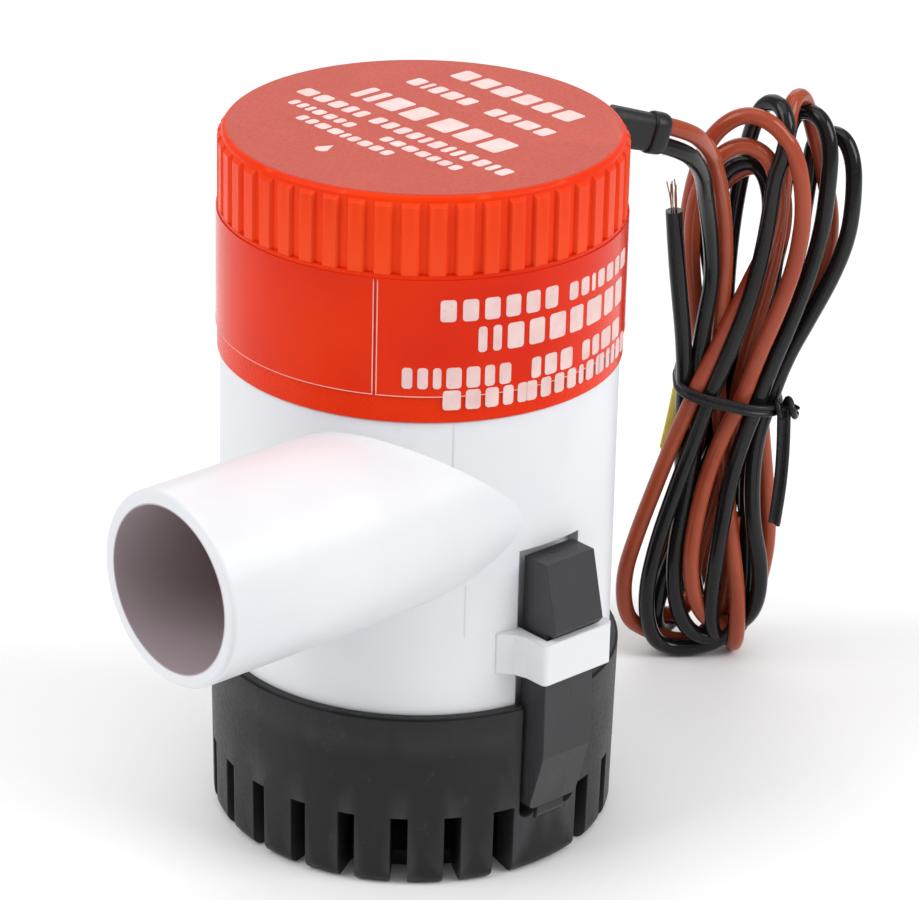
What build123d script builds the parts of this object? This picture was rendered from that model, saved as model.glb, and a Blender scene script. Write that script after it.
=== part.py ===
from build123d import *
import math
import os

# Submersible bilge pump: a slotted strainer base, a white pump body with a
# tangential hose spigot, a ribbed motor cap and two leads tied in a hank.
# Millimetres. The origin is on the pump's axis at the underside of the base,
# +Z is up, and the hose spigot points along +X. The two latches are on +Y and -Y.

# ---- driving dimensions -------------------------------------------------------
BAND_R = 30.0              # smooth part of the motor housing
BODY_R = 29.6              # white pump body
RIM_R = 31.0               # strainer base at its rim
FOOT_R = 30.5              # strainer base at the floor
CAP_TOP = 109.0
RIB_TOP = 108.0
BAND_TOP = 97.3
BAND_BOTTOM = 75.0
RIM_TOP = 28.1
SPIGOT_R = 14.5            # 29 mm hose bore
SPIGOT_BORE_R = 12.3
SPIGOT_Y = 15.0
SPIGOT_Z = 58.0
SPIGOT_END = 59.4
SPIGOT_ROOT_R = 14.1
SPIGOT_ROOT_X = (22.0, 31.0)   # the root widens to the full radius between these

# strainer base
FLOOR_T = 2.4
TOOTH_IN_R = 25.5
SLOT_TOP = 11.4
SLOT_W = 2.6
SLOT_BY_LATCH_W = 3.4
SLOT_PITCH = 15
WALL_IN_R = 28.75
SCREW_X = 16.0
SCREW_HOLE_R = 2.3

# latch finger, drawn for the +Y side
HINGE_Y = 30.0
HINGE_Z = 9.6
STEM_HALF_T = 1.1
STEM_HALF_W = 2.6
TAB_HALF_W = 4.7
TAB_BACK_Y = 29.0
TAB_FRONT_Y = 34.2
TAB_BOTTOM = 11.0
TAB_FOOT_Y = 31.4          # the tab's front slopes in to here at its foot
TAB_SLOPE_TOP = 20.5
BARB_Z = 41.1
BARB_Y = 36.0
BARB_TOP = 52.0
BARB_TOP_Y = 33.6
SIDE_SLOT_W = 2.8

# pump body
SKIRT_R = 28.4
SKIRT_IN_R = 26.6
SKIRT_BOTTOM = 12.0
CHAMBER_R = 25.8
CHAMBER_BOTTOM = 44.5
CHAMBER_TOP = 69.0
SOCKET_R = 28.0
BODY_TOP = 75.0
POCKET_HALF_W = 5.8
POCKET_Y = 27.0
POCKET_TOP = 53.0
LOOP_BOTTOM = 34.0
LOOP_TOP = 40.5
LOOP_FRONT_Y = 36.1
LOOP_WALL = 1.3
LOOP_HALF_W = 6.7
LOOP_ROOT_HALF_W = 9.2
LOOP_HOLE_HALF_W = 5.2
EYE_R = 9.0

# motor housing and cap
NECK_R = 27.9
HOUSING_IN_R = 27.6
CAP_IN_R = 25.5
CUP_R = 21.0
CAN_R = 18.5
CAN_IN_R = 16.9
CAN_BOTTOM = 62.0
CAN_TOP = 99.8
CUP_BOTTOM = 60.0
HUB_R = 7.0
HUB_BOTTOM = 56.4
SEAL_R = 5.5
RIB_COUNT = 48
RIB_SHARE = 0.6
RIB_HEIGHT = 0.6
FILM_T = 0.18
FILM_BOTTOM = 79.0
FILM_TOP = 96.7
FILM_SEAM_ANGLE = 36.0

# rotor
SHAFT_R = 1.585
SHAFT_BOTTOM = 45.8
SHAFT_TOP = 104.6
RUNNING_FIT = 0.035
IMPELLER_R = 17.5
VANE_COUNT = 5
POLE_COUNT = 5
TERMINAL_X = -13.6
TERMINAL_Y = 3.5
CORE_R = 11.4
CORE_BOTTOM = 69.0
CORE_TOP = 91.0

# leads
LEAD_D = 2.7
LEAD_SPACING = 3.0         # in the boot, one lead above the other
BOOT_ANGLE = 165.0
BOOT_START_R = 28.4
BOOT_START_Z = 105.2
BOOT_DROP = 0.30           # fall per millimetre of reach
BOOT_L = 9.4
SLEEVE_L = 2.9
PLUG_Z = 103.1
PLUG_H = 5.4
FLANGE_H = 6.2
HANK_TURN = 48.0           # the hank is widest across this direction

# Routes of the two leads from the boot to the hank, chosen by hand.
BROWN_ROUTE = [
    (-33.40, 8.95, 104.91),
    (-42.19, 11.30, 102.18),
    (-49.4, 9.2, 97.2),
    (-55.8, 5.2, 90.4),
    (-60.9, 1.9, 82.4),
    (-63.9, 0.0, 73.6),
]
BLACK_ROUTE = [
    (-32.57, 8.73, 102.04),
    (-41.36, 11.08, 99.31),
    (-48.7, 8.8, 93.8),
    (-54.3, 4.6, 86.0),
    (-58.9, 1.6, 77.4),
    (-62.3, -0.9, 69.0),
]
# The black lead's cut end stands beside the hank, with its strands bared.
FREE_END_ROUTE = [
    (-56.3, -4.3, 81.0),
    (-57.5, -4.8, 73.0),
    (-59.4, -4.9, 64.6),
    (-61.0, -4.6, 57.0),
    (-62.9, -5.1, 50.0),
]
# The hank's outer shape: height, shift across, half width and half depth.
HANK_CENTRE = (-31.4, -34.9)
HANK_SECTIONS = [
    (0.5, 51.0, 3.6, 3.0),
    (4.0, 48.2, 7.4, 4.6),
    (10.0, 46.7, 10.4, 5.8),
    (18.0, 46.0, 11.9, 6.4),
    (30.0, 47.5, 10.4, 6.0),
    (46.0, 49.9, 7.4, 5.0),
    (60.0, 51.8, 10.0, 6.2),
    (72.0, 55.2, 14.0, 7.2),
    (83.0, 56.6, 15.0, 7.2),
    (92.0, 55.8, 11.6, 6.0),
    (97.5, 54.3, 5.4, 4.0),
]
TIE_Z = 46.4
TIE_ACROSS = 49.9
TIE_TILT = 14              # degrees, low on the side of the knot
TIE_W = 3.8
TIE_T = 0.9

FROM_BELOW = (Align.CENTER, Align.CENTER, Align.MIN)


# ---- helpers ------------------------------------------------------------------
def disc(radius, bottom, top):
    """A round plate or bar on the pump's axis."""
    return Pos(0, 0, bottom) * Cylinder(radius, top - bottom, align=FROM_BELOW)


def ring(outer, inner, bottom, top):
    """A tube on the pump's axis, cut cleanly through both ends."""
    return disc(outer, bottom, top) - disc(inner, bottom - 1, top + 1)


def block(x0, x1, y0, y1, z0, z1):
    """A box between two corners."""
    centre = ((x0 + x1) / 2, (y0 + y1) / 2, (z0 + z1) / 2)
    return Pos(*centre) * Box(x1 - x0, y1 - y0, z1 - z0)


def prism_x(points, half_width):
    """A flat outline of (y, z) corners, made solid on both sides of x = 0."""
    outline = Plane.YZ * make_face(Polyline(*points, close=True))
    return extrude(outline, half_width, both=True)


def both_sides(piece):
    """The piece and its twin, half a turn round the pump's axis."""
    return piece + Rot(0, 0, 180) * piece


def around(piece, count, start=0.0):
    """Copies of a piece evenly round the pump's axis, as a list."""
    return [Rot(0, 0, start + 360 * k / count) * piece for k in range(count)]


def corner_radii(route, share=0.45):
    """The largest arc that each corner of a cord's route leaves room for."""
    radii = []
    for before, corner, after in zip(route, route[1:], route[2:]):
        arrive = Vector(*corner) - Vector(*before)
        leave = Vector(*after) - Vector(*corner)
        half_turn = math.radians(arrive.get_angle(leave)) / 2
        radii.append(share * min(arrive.length, leave.length) / math.tan(half_turn))
    return radii


def cord_tube(name, route, diameter):
    """A round cord along straight runs joined by tangent arcs."""
    radii = corner_radii(route)
    path = FilletPolyline(*route, radius=radii)
    section = Plane(origin=path @ 0, z_dir=path % 0) * Circle(diameter / 2)
    tube = sweep(section, path=path)
    print(name, "radii", [round(r, 1) for r in radii], "length", round(path.length, 1),
          "volume ratio", round(tube.volume / (section.area * path.length), 4))
    return tube


# ---- strainer base --------------------------------------------------------------
def slot_angles():
    """Inlet slots every 15 degrees, except under the two latches."""
    return [a for a in range(0, 360, SLOT_PITCH) if a % 180 != 90]


def strainer_slots():
    slots = []
    for angle in slot_angles():
        beside_latch = (angle + SLOT_PITCH) % 180 == 90 or (angle - SLOT_PITCH) % 180 == 90
        half = (SLOT_BY_LATCH_W if beside_latch else SLOT_W) / 2
        cut = block(TOOTH_IN_R - 1.5, RIM_R + 2, -half, half, -1, SLOT_TOP)
        slots.append(Rot(0, 0, angle) * cut)
    return slots


def latch_window():
    """Where the finger and the slots beside it pass through the base's wall."""
    hinge_fit = 0.02
    tools = []
    for side in (-1, 1):
        x = side * (STEM_HALF_W + SIDE_SLOT_W / 2)
        half = SIDE_SLOT_W / 2
        tools.append(block(x - half, x + half, WALL_IN_R - 4, RIM_R + 2, SLOT_TOP - 0.8, RIM_TOP + 2))
        end = Pos(x, 29.5, SLOT_TOP - 0.8) * Rot(90, 0, 0) * Cylinder(half, 9)
        tools.append(end)
    stem_half = STEM_HALF_W + hinge_fit
    tools.append(block(-stem_half, stem_half, WALL_IN_R - 4, RIM_R + 2, HINGE_Z, RIM_TOP + 2))
    seat = Pos(0, HINGE_Y, HINGE_Z) * Rot(0, 90, 0)
    tools.append(seat * Cylinder(STEM_HALF_T + hinge_fit, 2 * stem_half))
    return tools


def strainer_base():
    floor_edge_r = 2.0
    seat_r = 28.0
    outside = Plane.XZ * make_face(
        Polyline((0, 0), (FOOT_R, 0), (RIM_R, RIM_TOP), (0, RIM_TOP), close=True)
    )
    cup = revolve(outside, Axis.Z)
    cup = fillet(cup.edges().filter_by(GeomType.CIRCLE).sort_by(Axis.Z)[0], floor_edge_r)
    cup -= disc(TOOTH_IN_R, FLOOR_T, RIM_TOP + 1)
    cup -= disc(WALL_IN_R, SLOT_TOP + 0.6, RIM_TOP + 1)
    boss = Pos(SCREW_X, 0, FLOOR_T - 0.4) * Cylinder(5.5, 2.4, align=FROM_BELOW)
    rib = block(5, 10.6, -0.9, 0.9, FLOOR_T - 0.4, FLOOR_T + 1.6)
    centre_ring = ring(7.0, 5.2, FLOOR_T - 0.4, FLOOR_T + 1.6)
    cup = cup + both_sides(boss) + both_sides(rib) + centre_ring
    hole = Pos(SCREW_X, 0, -1) * Cylinder(SCREW_HOLE_R, 8, align=FROM_BELOW)
    cuts = [hole, Rot(0, 0, 180) * hole] + strainer_slots()
    for turn in (0, 180):
        cuts += [Rot(0, 0, turn) * tool for tool in latch_window()]
    cup = cup - cuts
    lip = ring(seat_r + 4, RIM_R - 0.35, RIM_TOP - 0.35, RIM_TOP + 1)
    return cup - lip


def latch_finger():
    """One snap finger: a round root, a short flexible stem, a tab and a barb."""
    tab = prism_x(
        [
            (TAB_BACK_Y, TAB_BOTTOM),
            (TAB_FOOT_Y, TAB_BOTTOM),
            (TAB_FRONT_Y, TAB_SLOPE_TOP),
            (TAB_FRONT_Y, BARB_Z),
            (BARB_Y - 0.5, BARB_Z),
            (BARB_Y, BARB_Z + 0.7),
            (BARB_TOP_Y, BARB_TOP),
            (TAB_BACK_Y, BARB_TOP),
        ],
        TAB_HALF_W,
    )
    lower_corners = tab.edges().filter_by(Axis.Y).sort_by(Axis.Z)[:2]
    tab = fillet(lower_corners, 1.2)
    stem = block(-STEM_HALF_W, STEM_HALF_W, HINGE_Y - STEM_HALF_T, HINGE_Y + STEM_HALF_T,
                 HINGE_Z, TAB_BOTTOM + 1)
    root = Pos(0, HINGE_Y, HINGE_Z) * Rot(0, 90, 0) * Cylinder(STEM_HALF_T, 2 * STEM_HALF_W)
    return tab + stem + root


# ---- pump body ------------------------------------------------------------------
def latch_loop():
    """The open bracket that a finger snaps through, with flared roots."""
    root_y = POCKET_Y
    outline = [
        (-LOOP_ROOT_HALF_W, root_y),
        (-LOOP_ROOT_HALF_W, 28.3),
        (-LOOP_HALF_W - 0.7, 30.2),
        (-LOOP_HALF_W, 32.4),
        (-LOOP_HALF_W, LOOP_FRONT_Y),
    ]
    outline += [(-x, y) for x, y in reversed(outline)]
    face = make_face(Polyline(*outline, close=True))
    loop = extrude(Pos(0, 0, LOOP_BOTTOM) * face, LOOP_TOP - LOOP_BOTTOM)
    corners = loop.edges().filter_by(Axis.Z).sort_by(Axis.Y)[-2:]
    return fillet(corners, 0.8)


def loop_hole():
    return block(-LOOP_HOLE_HALF_W, LOOP_HOLE_HALF_W, POCKET_Y, LOOP_FRONT_Y - LOOP_WALL,
                 LOOP_BOTTOM - 1, LOOP_TOP + 1)


def hose_spigot():
    """The round spigot, a little thinner where it leaves the body."""
    root_end, full_from = SPIGOT_ROOT_X
    outline = [
        (0, 0),
        (SPIGOT_ROOT_R, 0),
        (SPIGOT_ROOT_R, root_end),
        (SPIGOT_R, full_from),
        (SPIGOT_R, SPIGOT_END),
        (0, SPIGOT_END),
    ]
    spigot = revolve(Plane.XZ * make_face(Polyline(*outline, close=True)), Axis.Z)
    mouth = spigot.edges().filter_by(GeomType.CIRCLE).sort_by(Axis.Z)[-1]
    return Pos(0, SPIGOT_Y, SPIGOT_Z) * Rot(0, 90, 0) * fillet(mouth, 0.7)


def pump_body():
    shoulder_edge = 0.3
    body = disc(BODY_R, RIM_TOP, BODY_TOP) + disc(SKIRT_R, SKIRT_BOTTOM, RIM_TOP)
    body = body + hose_spigot() + both_sides(latch_loop())
    body -= disc(SKIRT_IN_R, SKIRT_BOTTOM - 1, CHAMBER_BOTTOM - 4)
    body -= disc(CHAMBER_R, CHAMBER_BOTTOM - 5, CHAMBER_TOP)
    body -= disc(SOCKET_R, CHAMBER_TOP, BODY_TOP + 1)
    bore = Pos(3, SPIGOT_Y, SPIGOT_Z) * Rot(0, 90, 0) * Cylinder(
        SPIGOT_BORE_R, SPIGOT_END + 10, align=FROM_BELOW
    )
    body -= bore
    pocket = block(-POCKET_HALF_W, POCKET_HALF_W, POCKET_Y, BODY_R + 0.5,
                   SKIRT_BOTTOM - 1, LOOP_BOTTOM)
    upper_pocket = block(-POCKET_HALF_W, POCKET_HALF_W, POCKET_Y, BODY_R + 0.5,
                         LOOP_TOP, POCKET_TOP)
    body -= both_sides(pocket)
    body -= both_sides(upper_pocket)
    body -= both_sides(loop_hole())
    top_edge = body.edges().filter_by(GeomType.CIRCLE).filter_by(
        lambda e: abs(e.radius - BODY_R) < 0.01 and abs(e.center().Z - BODY_TOP) < 0.01
    )
    return chamfer(top_edge, shoulder_edge)


def volute_plate():
    """Floor of the impeller chamber, with the inlet eye and its short bell."""
    plate = disc(CHAMBER_R - 0.05, CHAMBER_BOTTOM - 2.0, CHAMBER_BOTTOM)
    bell = disc(EYE_R + 2.0, CHAMBER_BOTTOM - 6.0, CHAMBER_BOTTOM - 2.0)
    plate = plate + bell - disc(EYE_R, CHAMBER_BOTTOM - 8, CHAMBER_BOTTOM + 1)
    spoke = block(-EYE_R - 0.5, EYE_R + 0.5, -0.7, 0.7, CHAMBER_BOTTOM - 6.0, CHAMBER_BOTTOM - 4.6)
    return plate + spoke + Rot(0, 0, 90) * spoke


# ---- motor housing and cap --------------------------------------------------------
def motor_housing():
    wall = ring(BAND_R, HOUSING_IN_R, BAND_BOTTOM, BAND_TOP)
    neck = ring(NECK_R, NECK_R - 2.3, CHAMBER_TOP, BAND_BOTTOM + 2)
    neck = neck + ring(HOUSING_IN_R + 0.5, NECK_R - 2.3, BAND_BOTTOM, BAND_BOTTOM + 2)
    bulkhead = ring(NECK_R, CAN_R + 0.1, CHAMBER_TOP, CHAMBER_TOP + 2.5)
    cup = disc(CUP_R, CUP_BOTTOM, CHAMBER_TOP + 2.5) - disc(CAN_R + 0.1, CAN_BOTTOM, CHAMBER_TOP + 3)
    hub = disc(HUB_R, HUB_BOTTOM, CUP_BOTTOM)
    rib = block(CAN_R + 0.1, NECK_R - 0.5, -1, 1, CHAMBER_TOP + 2, BAND_TOP - 8)
    centring = ring(CAN_R + 1.7, CAN_R + 0.1, BAND_TOP - 14, BAND_TOP - 8)
    housing = wall + neck + bulkhead + cup + hub + centring + around(rib, 6, 30)
    housing -= disc(SEAL_R + 0.02, HUB_BOTTOM - 1, CUP_BOTTOM)
    housing -= disc(SHAFT_R + 1.0, CUP_BOTTOM - 1, CAN_BOTTOM + 1)
    groove = ring(NECK_R + 1, NECK_R - 1.6, CHAMBER_TOP + 3.0, CHAMBER_TOP + 5.0)
    return housing - groove


def housing_o_ring():
    section_r = 0.83
    middle = (NECK_R - 1.6 + SOCKET_R) / 2
    return Pos(0, 0, CHAMBER_TOP + 4.0) * Torus(middle, section_r)


def boot_direction():
    reach = math.radians(BOOT_ANGLE)
    return Vector(math.cos(reach), math.sin(reach), -BOOT_DROP).normalized()


def boot_plane(along=0.0):
    """The plane across the cable boot, a distance along it."""
    reach = math.radians(BOOT_ANGLE)
    start = Vector(BOOT_START_R * math.cos(reach), BOOT_START_R * math.sin(reach), BOOT_START_Z)
    side = Vector(-math.sin(reach), math.cos(reach), 0)
    upward = boot_direction().cross(side)
    if upward.Z < 0:
        upward = -upward
    origin = start + boot_direction() * along
    return Plane(origin=origin, x_dir=upward, z_dir=boot_direction())


def cap_ribs():
    """A ribbed ring, its ribs rounded off at the top."""
    groove_r = BAND_R - RIB_HEIGHT
    step = 360 / RIB_COUNT
    corners = []
    for k in range(RIB_COUNT):
        middle = k * step
        for radius, offset in ((groove_r, -0.36), (BAND_R, -0.27), (BAND_R, 0.27), (groove_r, 0.36)):
            angle = math.radians(middle + offset * step)
            corners.append((radius * math.cos(angle), radius * math.sin(angle)))
    outline = make_face(Polyline(*corners, close=True))
    ribs = extrude(Pos(0, 0, BAND_TOP) * outline, RIB_TOP - BAND_TOP)
    limit = disc(BAND_R, BAND_TOP, RIB_TOP)
    limit = chamfer(limit.edges().filter_by(GeomType.CIRCLE).sort_by(Axis.Z)[-1], 0.6)
    return ribs & limit


def motor_cap():
    top_edge_r = 1.0
    tongue_bottom = BAND_TOP - 4
    roof = 2.6
    shell = disc(BAND_R - RIB_HEIGHT, BAND_TOP, CAP_TOP)
    shell = fillet(shell.edges().filter_by(GeomType.CIRCLE).sort_by(Axis.Z)[-1], top_edge_r)
    shell = shell + cap_ribs() + disc(HOUSING_IN_R - 0.05, tongue_bottom, BAND_TOP)
    shell -= disc(CAP_IN_R, tongue_bottom - 1, CAP_TOP - roof)
    return shell - boot_passage()


def boot_height(extra=0.0):
    return LEAD_D + LEAD_SPACING + 0.7 + extra


def boot_width(extra=0.0):
    return LEAD_D + 1.2 + extra


def plug_plane(radius):
    """An upright plane across the rubber plug where it goes through the cap's wall."""
    reach = math.radians(BOOT_ANGLE)
    outward = (math.cos(reach), math.sin(reach), 0)
    origin = (radius * outward[0], radius * outward[1], PLUG_Z)
    return Plane(origin=origin, x_dir=(0, 0, 1), z_dir=outward)


def boot_passage():
    """The opening in the cap's wall that the plug and the sloping sleeve fill."""
    fit = 0.04
    plug = plug_plane(CAP_IN_R - 1) * SlotOverall(PLUG_H + fit, boot_width(fit))
    sleeve = boot_plane() * SlotOverall(boot_height(fit), boot_width(fit))
    return extrude(plug, BOOT_START_R + 2 - CAP_IN_R) + extrude(sleeve, BOOT_L)


def cable_boot():
    """Rubber strain relief: a flange inside the cap, a plug and an oval sleeve."""
    flange_t = 0.9
    flange = extrude(plug_plane(CAP_IN_R - 1.1) * SlotOverall(FLANGE_H, boot_width(1.6)), flange_t)
    plug = plug_plane(CAP_IN_R - 1.1) * SlotOverall(PLUG_H, boot_width())
    plug = extrude(plug, BOOT_START_R + 2 - CAP_IN_R)
    sleeve = extrude(boot_plane() * SlotOverall(boot_height(), boot_width()), BOOT_L)
    return flange + plug + sleeve - lead_bores(0, BOOT_L + 1)


def lead_bores(start, length):
    """The two leads' own shape along the boot, one above the other."""
    fit = 0.02
    bores = []
    for shift in (-LEAD_SPACING / 2, LEAD_SPACING / 2):
        circle = boot_plane(start) * Pos(shift, 0, 0) * Circle(LEAD_D / 2 + fit)
        bores.append(extrude(circle, length))
    return bores


def lead_sleeve():
    """The thicker collar at the boot's end that grips both leads."""
    oval = boot_plane(BOOT_L) * SlotOverall(boot_height(0.3), boot_width(0.3))
    sleeve = extrude(oval, SLEEVE_L)
    return sleeve - lead_bores(BOOT_L - 1, SLEEVE_L + 2)


def label_wrap():
    """Thin clear film round the band, split at its seam."""
    film = ring(BAND_R + FILM_T + 0.02, BAND_R + 0.02, FILM_BOTTOM, FILM_TOP)
    gap = Rot(0, 0, FILM_SEAM_ANGLE) * block(BAND_R - 2, BAND_R + 2, -0.25, 0.25,
                                             FILM_BOTTOM - 1, FILM_TOP + 1)
    return film - gap


# ---- rotor ----------------------------------------------------------------------
def motor_shaft():
    return disc(SHAFT_R, SHAFT_BOTTOM, SHAFT_TOP)


def impeller():
    """Open impeller: a hub and a disc with curved vanes under it."""
    disc_bottom = 53.6
    vane_bottom = 46.3
    hub = disc(4.4, 46.0, 56.0)
    shroud = disc(IMPELLER_R, disc_bottom, disc_bottom + 1.6)
    curve = ThreePointArc((3.6, 0), (10.6, 2.8), (IMPELLER_R - 1.0, 0.4))
    vane = extrude(Pos(0, 0, vane_bottom) * SlotArc(curve, 1.4), disc_bottom - vane_bottom + 0.2)
    wheel = hub + shroud + around(vane, VANE_COUNT)
    return wheel - disc(SHAFT_R, 45, 57)


def armature_core():
    """Laminated core with open winding slots."""
    core = disc(CORE_R, CORE_BOTTOM, CORE_TOP)
    slot = Pos(7.6, 0, CORE_BOTTOM - 1) * Cylinder(2.6, CORE_TOP - CORE_BOTTOM + 2, align=FROM_BELOW)
    mouth = block(8, CORE_R + 1, -0.8, 0.8, CORE_BOTTOM - 1, CORE_TOP + 1)
    core = core - around(slot, POLE_COUNT) - around(mouth, POLE_COUNT)
    return core - disc(SHAFT_R, CORE_BOTTOM - 1, CORE_TOP + 1)


def armature_windings():
    """Copper bundles through the slots, joined by a ring at each end."""
    bundle = Pos(7.6, 0, CORE_BOTTOM - 2) * Cylinder(2.5, CORE_TOP - CORE_BOTTOM + 4, align=FROM_BELOW)
    lower = ring(10.2, 4.6, CORE_BOTTOM - 2.6, CORE_BOTTOM - 0.1)
    upper = ring(10.2, 4.6, CORE_TOP + 0.1, CORE_TOP + 2.6)
    return lower + upper + around(bundle, POLE_COUNT)


def commutator():
    drum = ring(4.2, SHAFT_R, CORE_TOP + 3.2, CORE_TOP + 8.6)
    gap = block(3.2, 5, -0.2, 0.2, CORE_TOP + 3, CORE_TOP + 7.6)
    return drum - around(gap, POLE_COUNT, 36)


# ---- motor ----------------------------------------------------------------------
def motor_can():
    can = disc(CAN_R, CAN_BOTTOM, CAN_TOP) - disc(CAN_IN_R, CAN_BOTTOM + 1.2, CAN_TOP + 1)
    return can - disc(4.0, CAN_BOTTOM - 1, CAN_BOTTOM + 2)


def magnets():
    """Two curved magnets on opposite sides of the armature."""
    shell = ring(CAN_IN_R - 0.02, CORE_R + 0.8, CORE_BOTTOM - 1, CORE_TOP + 1)
    gap = block(-5, 5, -20, 20, CORE_BOTTOM - 2, CORE_TOP + 2)
    return shell - gap


def lower_bearing():
    return ring(3.98, SHAFT_R + RUNNING_FIT, CAN_BOTTOM, CAN_BOTTOM + 4)


def upper_bearing():
    return ring(3.98, SHAFT_R + RUNNING_FIT, CAN_TOP + 0.2, CAN_TOP + 3.4)


def brush_plate():
    """Plastic end plate with two brush boxes hanging below it."""
    plate = ring(CAN_R, 4.0, CAN_TOP, CAN_TOP + 2.2)
    box = block(6.2, 14.5, -3.2, 3.2, CORE_TOP + 3.6, CAN_TOP)
    bore = block(5.0, 16.0, -2.05, 2.05, CORE_TOP + 4.3, CORE_TOP + 8.4)
    return plate + both_sides(box) - both_sides(bore)


def brushes():
    brush = block(4.3, 10.0, -2.0, 2.0, CORE_TOP + 4.35, CORE_TOP + 8.35)
    brush -= disc(4.25, CORE_TOP, CAN_TOP)
    return both_sides(brush)


def brush_springs():
    """Bent leaf springs that press the brushes inwards."""
    middle = CORE_TOP + 6.35
    arm = block(10.05, 10.45, -1.6, 1.6, middle - 1.6, middle + 1.6)
    foot = block(10.3, 14.2, -1.6, 1.6, middle + 1.2, middle + 1.6)
    return both_sides(arm + foot)


def shaft_seal():
    """Rubber lip seal on the shaft, pressed up into the hub."""
    body = ring(SEAL_R, SHAFT_R + 0.7, HUB_BOTTOM + 0.7, CUP_BOTTOM)
    lip = ring(SHAFT_R + 0.9, SHAFT_R + 0.015, HUB_BOTTOM + 1.6, HUB_BOTTOM + 2.3)
    return body + lip


def seal_washer():
    return ring(SEAL_R, SHAFT_R + 0.6, HUB_BOTTOM, HUB_BOTTOM + 0.65)


def terminals():
    """Two blade terminals on the end plate, where the leads are crimped."""
    blades = []
    for y in (-TERMINAL_Y, TERMINAL_Y):
        blades.append(block(TERMINAL_X, TERMINAL_X + 0.8, y - 1.5, y + 1.5,
                            CAN_TOP + 2.2, CAN_TOP + 5.2))
    return Compound(children=blades)


def inner_leads():
    """The stripped ends of the two leads, from the rubber plug to the terminals."""
    core_r = 0.9
    start = plug_plane(CAP_IN_R - 1.12)
    tails = []
    for side, rise in ((1, LEAD_SPACING / 2), (-1, -LEAD_SPACING / 2)):
        near = start.from_local_coords(Vector(rise, 0, 0))
        far = Vector(TERMINAL_X - 0.1, side * TERMINAL_Y, CAN_TOP + 4.2)
        run = far - near
        tails.append(extrude(Plane(origin=near, z_dir=run) * Circle(core_r), run.length))
    return Compound(children=tails)


# ---- leads ----------------------------------------------------------------------
def hank_plane(height, across):
    """A level plane at a place in the hank, with its X across the hank."""
    turn = math.radians(HANK_TURN)
    across_dir = (-math.sin(turn), math.cos(turn), 0)
    origin = (HANK_CENTRE[0] + across * across_dir[0], HANK_CENTRE[1] + across * across_dir[1], height)
    return Plane(origin=origin, x_dir=across_dir, z_dir=(0, 0, 1))


def wire_hank():
    """The outer shape of the tied hank of both leads."""
    sections = [hank_plane(z, across) * Ellipse(width, depth)
                for z, across, width, depth in HANK_SECTIONS]
    return loft(sections)


def twist_tie():
    """A plastic ribbon round the waist of the hank, twisted and left hanging."""
    outer = Ellipse(8.5, 6.1)
    inner = Ellipse(8.5 - TIE_T, 6.1 - TIE_T)
    level = hank_plane(TIE_Z, TIE_ACROSS).location
    band = level * Rot(0, TIE_TILT, 0) * Pos(0, 0, -TIE_W / 2) * extrude(outer - inner, TIE_W)
    knot = level * Pos(8.9, 3.0, -2.2) * Rot(60, 30, 0) * Cylinder(1.5, 4.4)
    tail = level * Pos(9.3, 4.6, -22.0) * Box(1.9, 0.8, 21.0, align=FROM_BELOW)
    return band + knot + tail


def lead_strands():
    """Bared copper strands at the black lead's cut end."""
    tip = Vector(*FREE_END_ROUTE[0])
    lean = (tip - Vector(*FREE_END_ROUTE[1])).normalized()
    return extrude(Plane(origin=tip, z_dir=lean) * Circle(0.45), 6.2)


def marker_sleeve():
    """A short flat yellow marker that hangs from the tie behind the hank."""
    level = hank_plane(TIE_Z, TIE_ACROSS).location
    return level * Pos(-9.4, -3.2, -10.6) * Rot(0, -9, 0) * Box(2.0, 0.5, 12.0, align=FROM_BELOW)


PIECES = {
    "strainer_base": strainer_base,
    "pump_body": pump_body,
    "volute_plate": volute_plate,
    "motor_housing": motor_housing,
    "housing_o_ring": housing_o_ring,
    "motor_cap": motor_cap,
    "label_wrap": label_wrap,
    "cable_boot": cable_boot,
    "lead_sleeve": lead_sleeve,
    "motor_shaft": motor_shaft,
    "impeller": impeller,
    "armature_core": armature_core,
    "armature_windings": armature_windings,
    "commutator": commutator,
    "motor_can": motor_can,
    "magnets": magnets,
    "lower_bearing": lower_bearing,
    "upper_bearing": upper_bearing,
    "brush_plate": brush_plate,
    "brushes": brushes,
    "brush_springs": brush_springs,
    "shaft_seal": shaft_seal,
    "seal_washer": seal_washer,
    "terminals": terminals,
    "inner_leads": inner_leads,
    "wire_hank": wire_hank,
    "twist_tie": twist_tie,
    "lead_strands": lead_strands,
    "marker_sleeve": marker_sleeve,
}


def main():
    os.makedirs("parts", exist_ok=True)
    finger = latch_finger()
    made = {name: make() for name, make in PIECES.items()}
    made["latch_finger_left"] = finger
    made["latch_finger_right"] = Rot(0, 0, 180) * finger
    made["lead_brown"] = cord_tube("lead_brown", BROWN_ROUTE, LEAD_D)
    made["lead_black"] = cord_tube("lead_black", BLACK_ROUTE, LEAD_D)
    made["lead_free_end"] = cord_tube("lead_free_end", FREE_END_ROUTE, LEAD_D)
    for name, piece in made.items():
        export_step(piece, f"parts/{name}.step")


main()
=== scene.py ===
import math
import random

import bpy
import bmesh
from mathutils import Matrix, Vector


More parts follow.
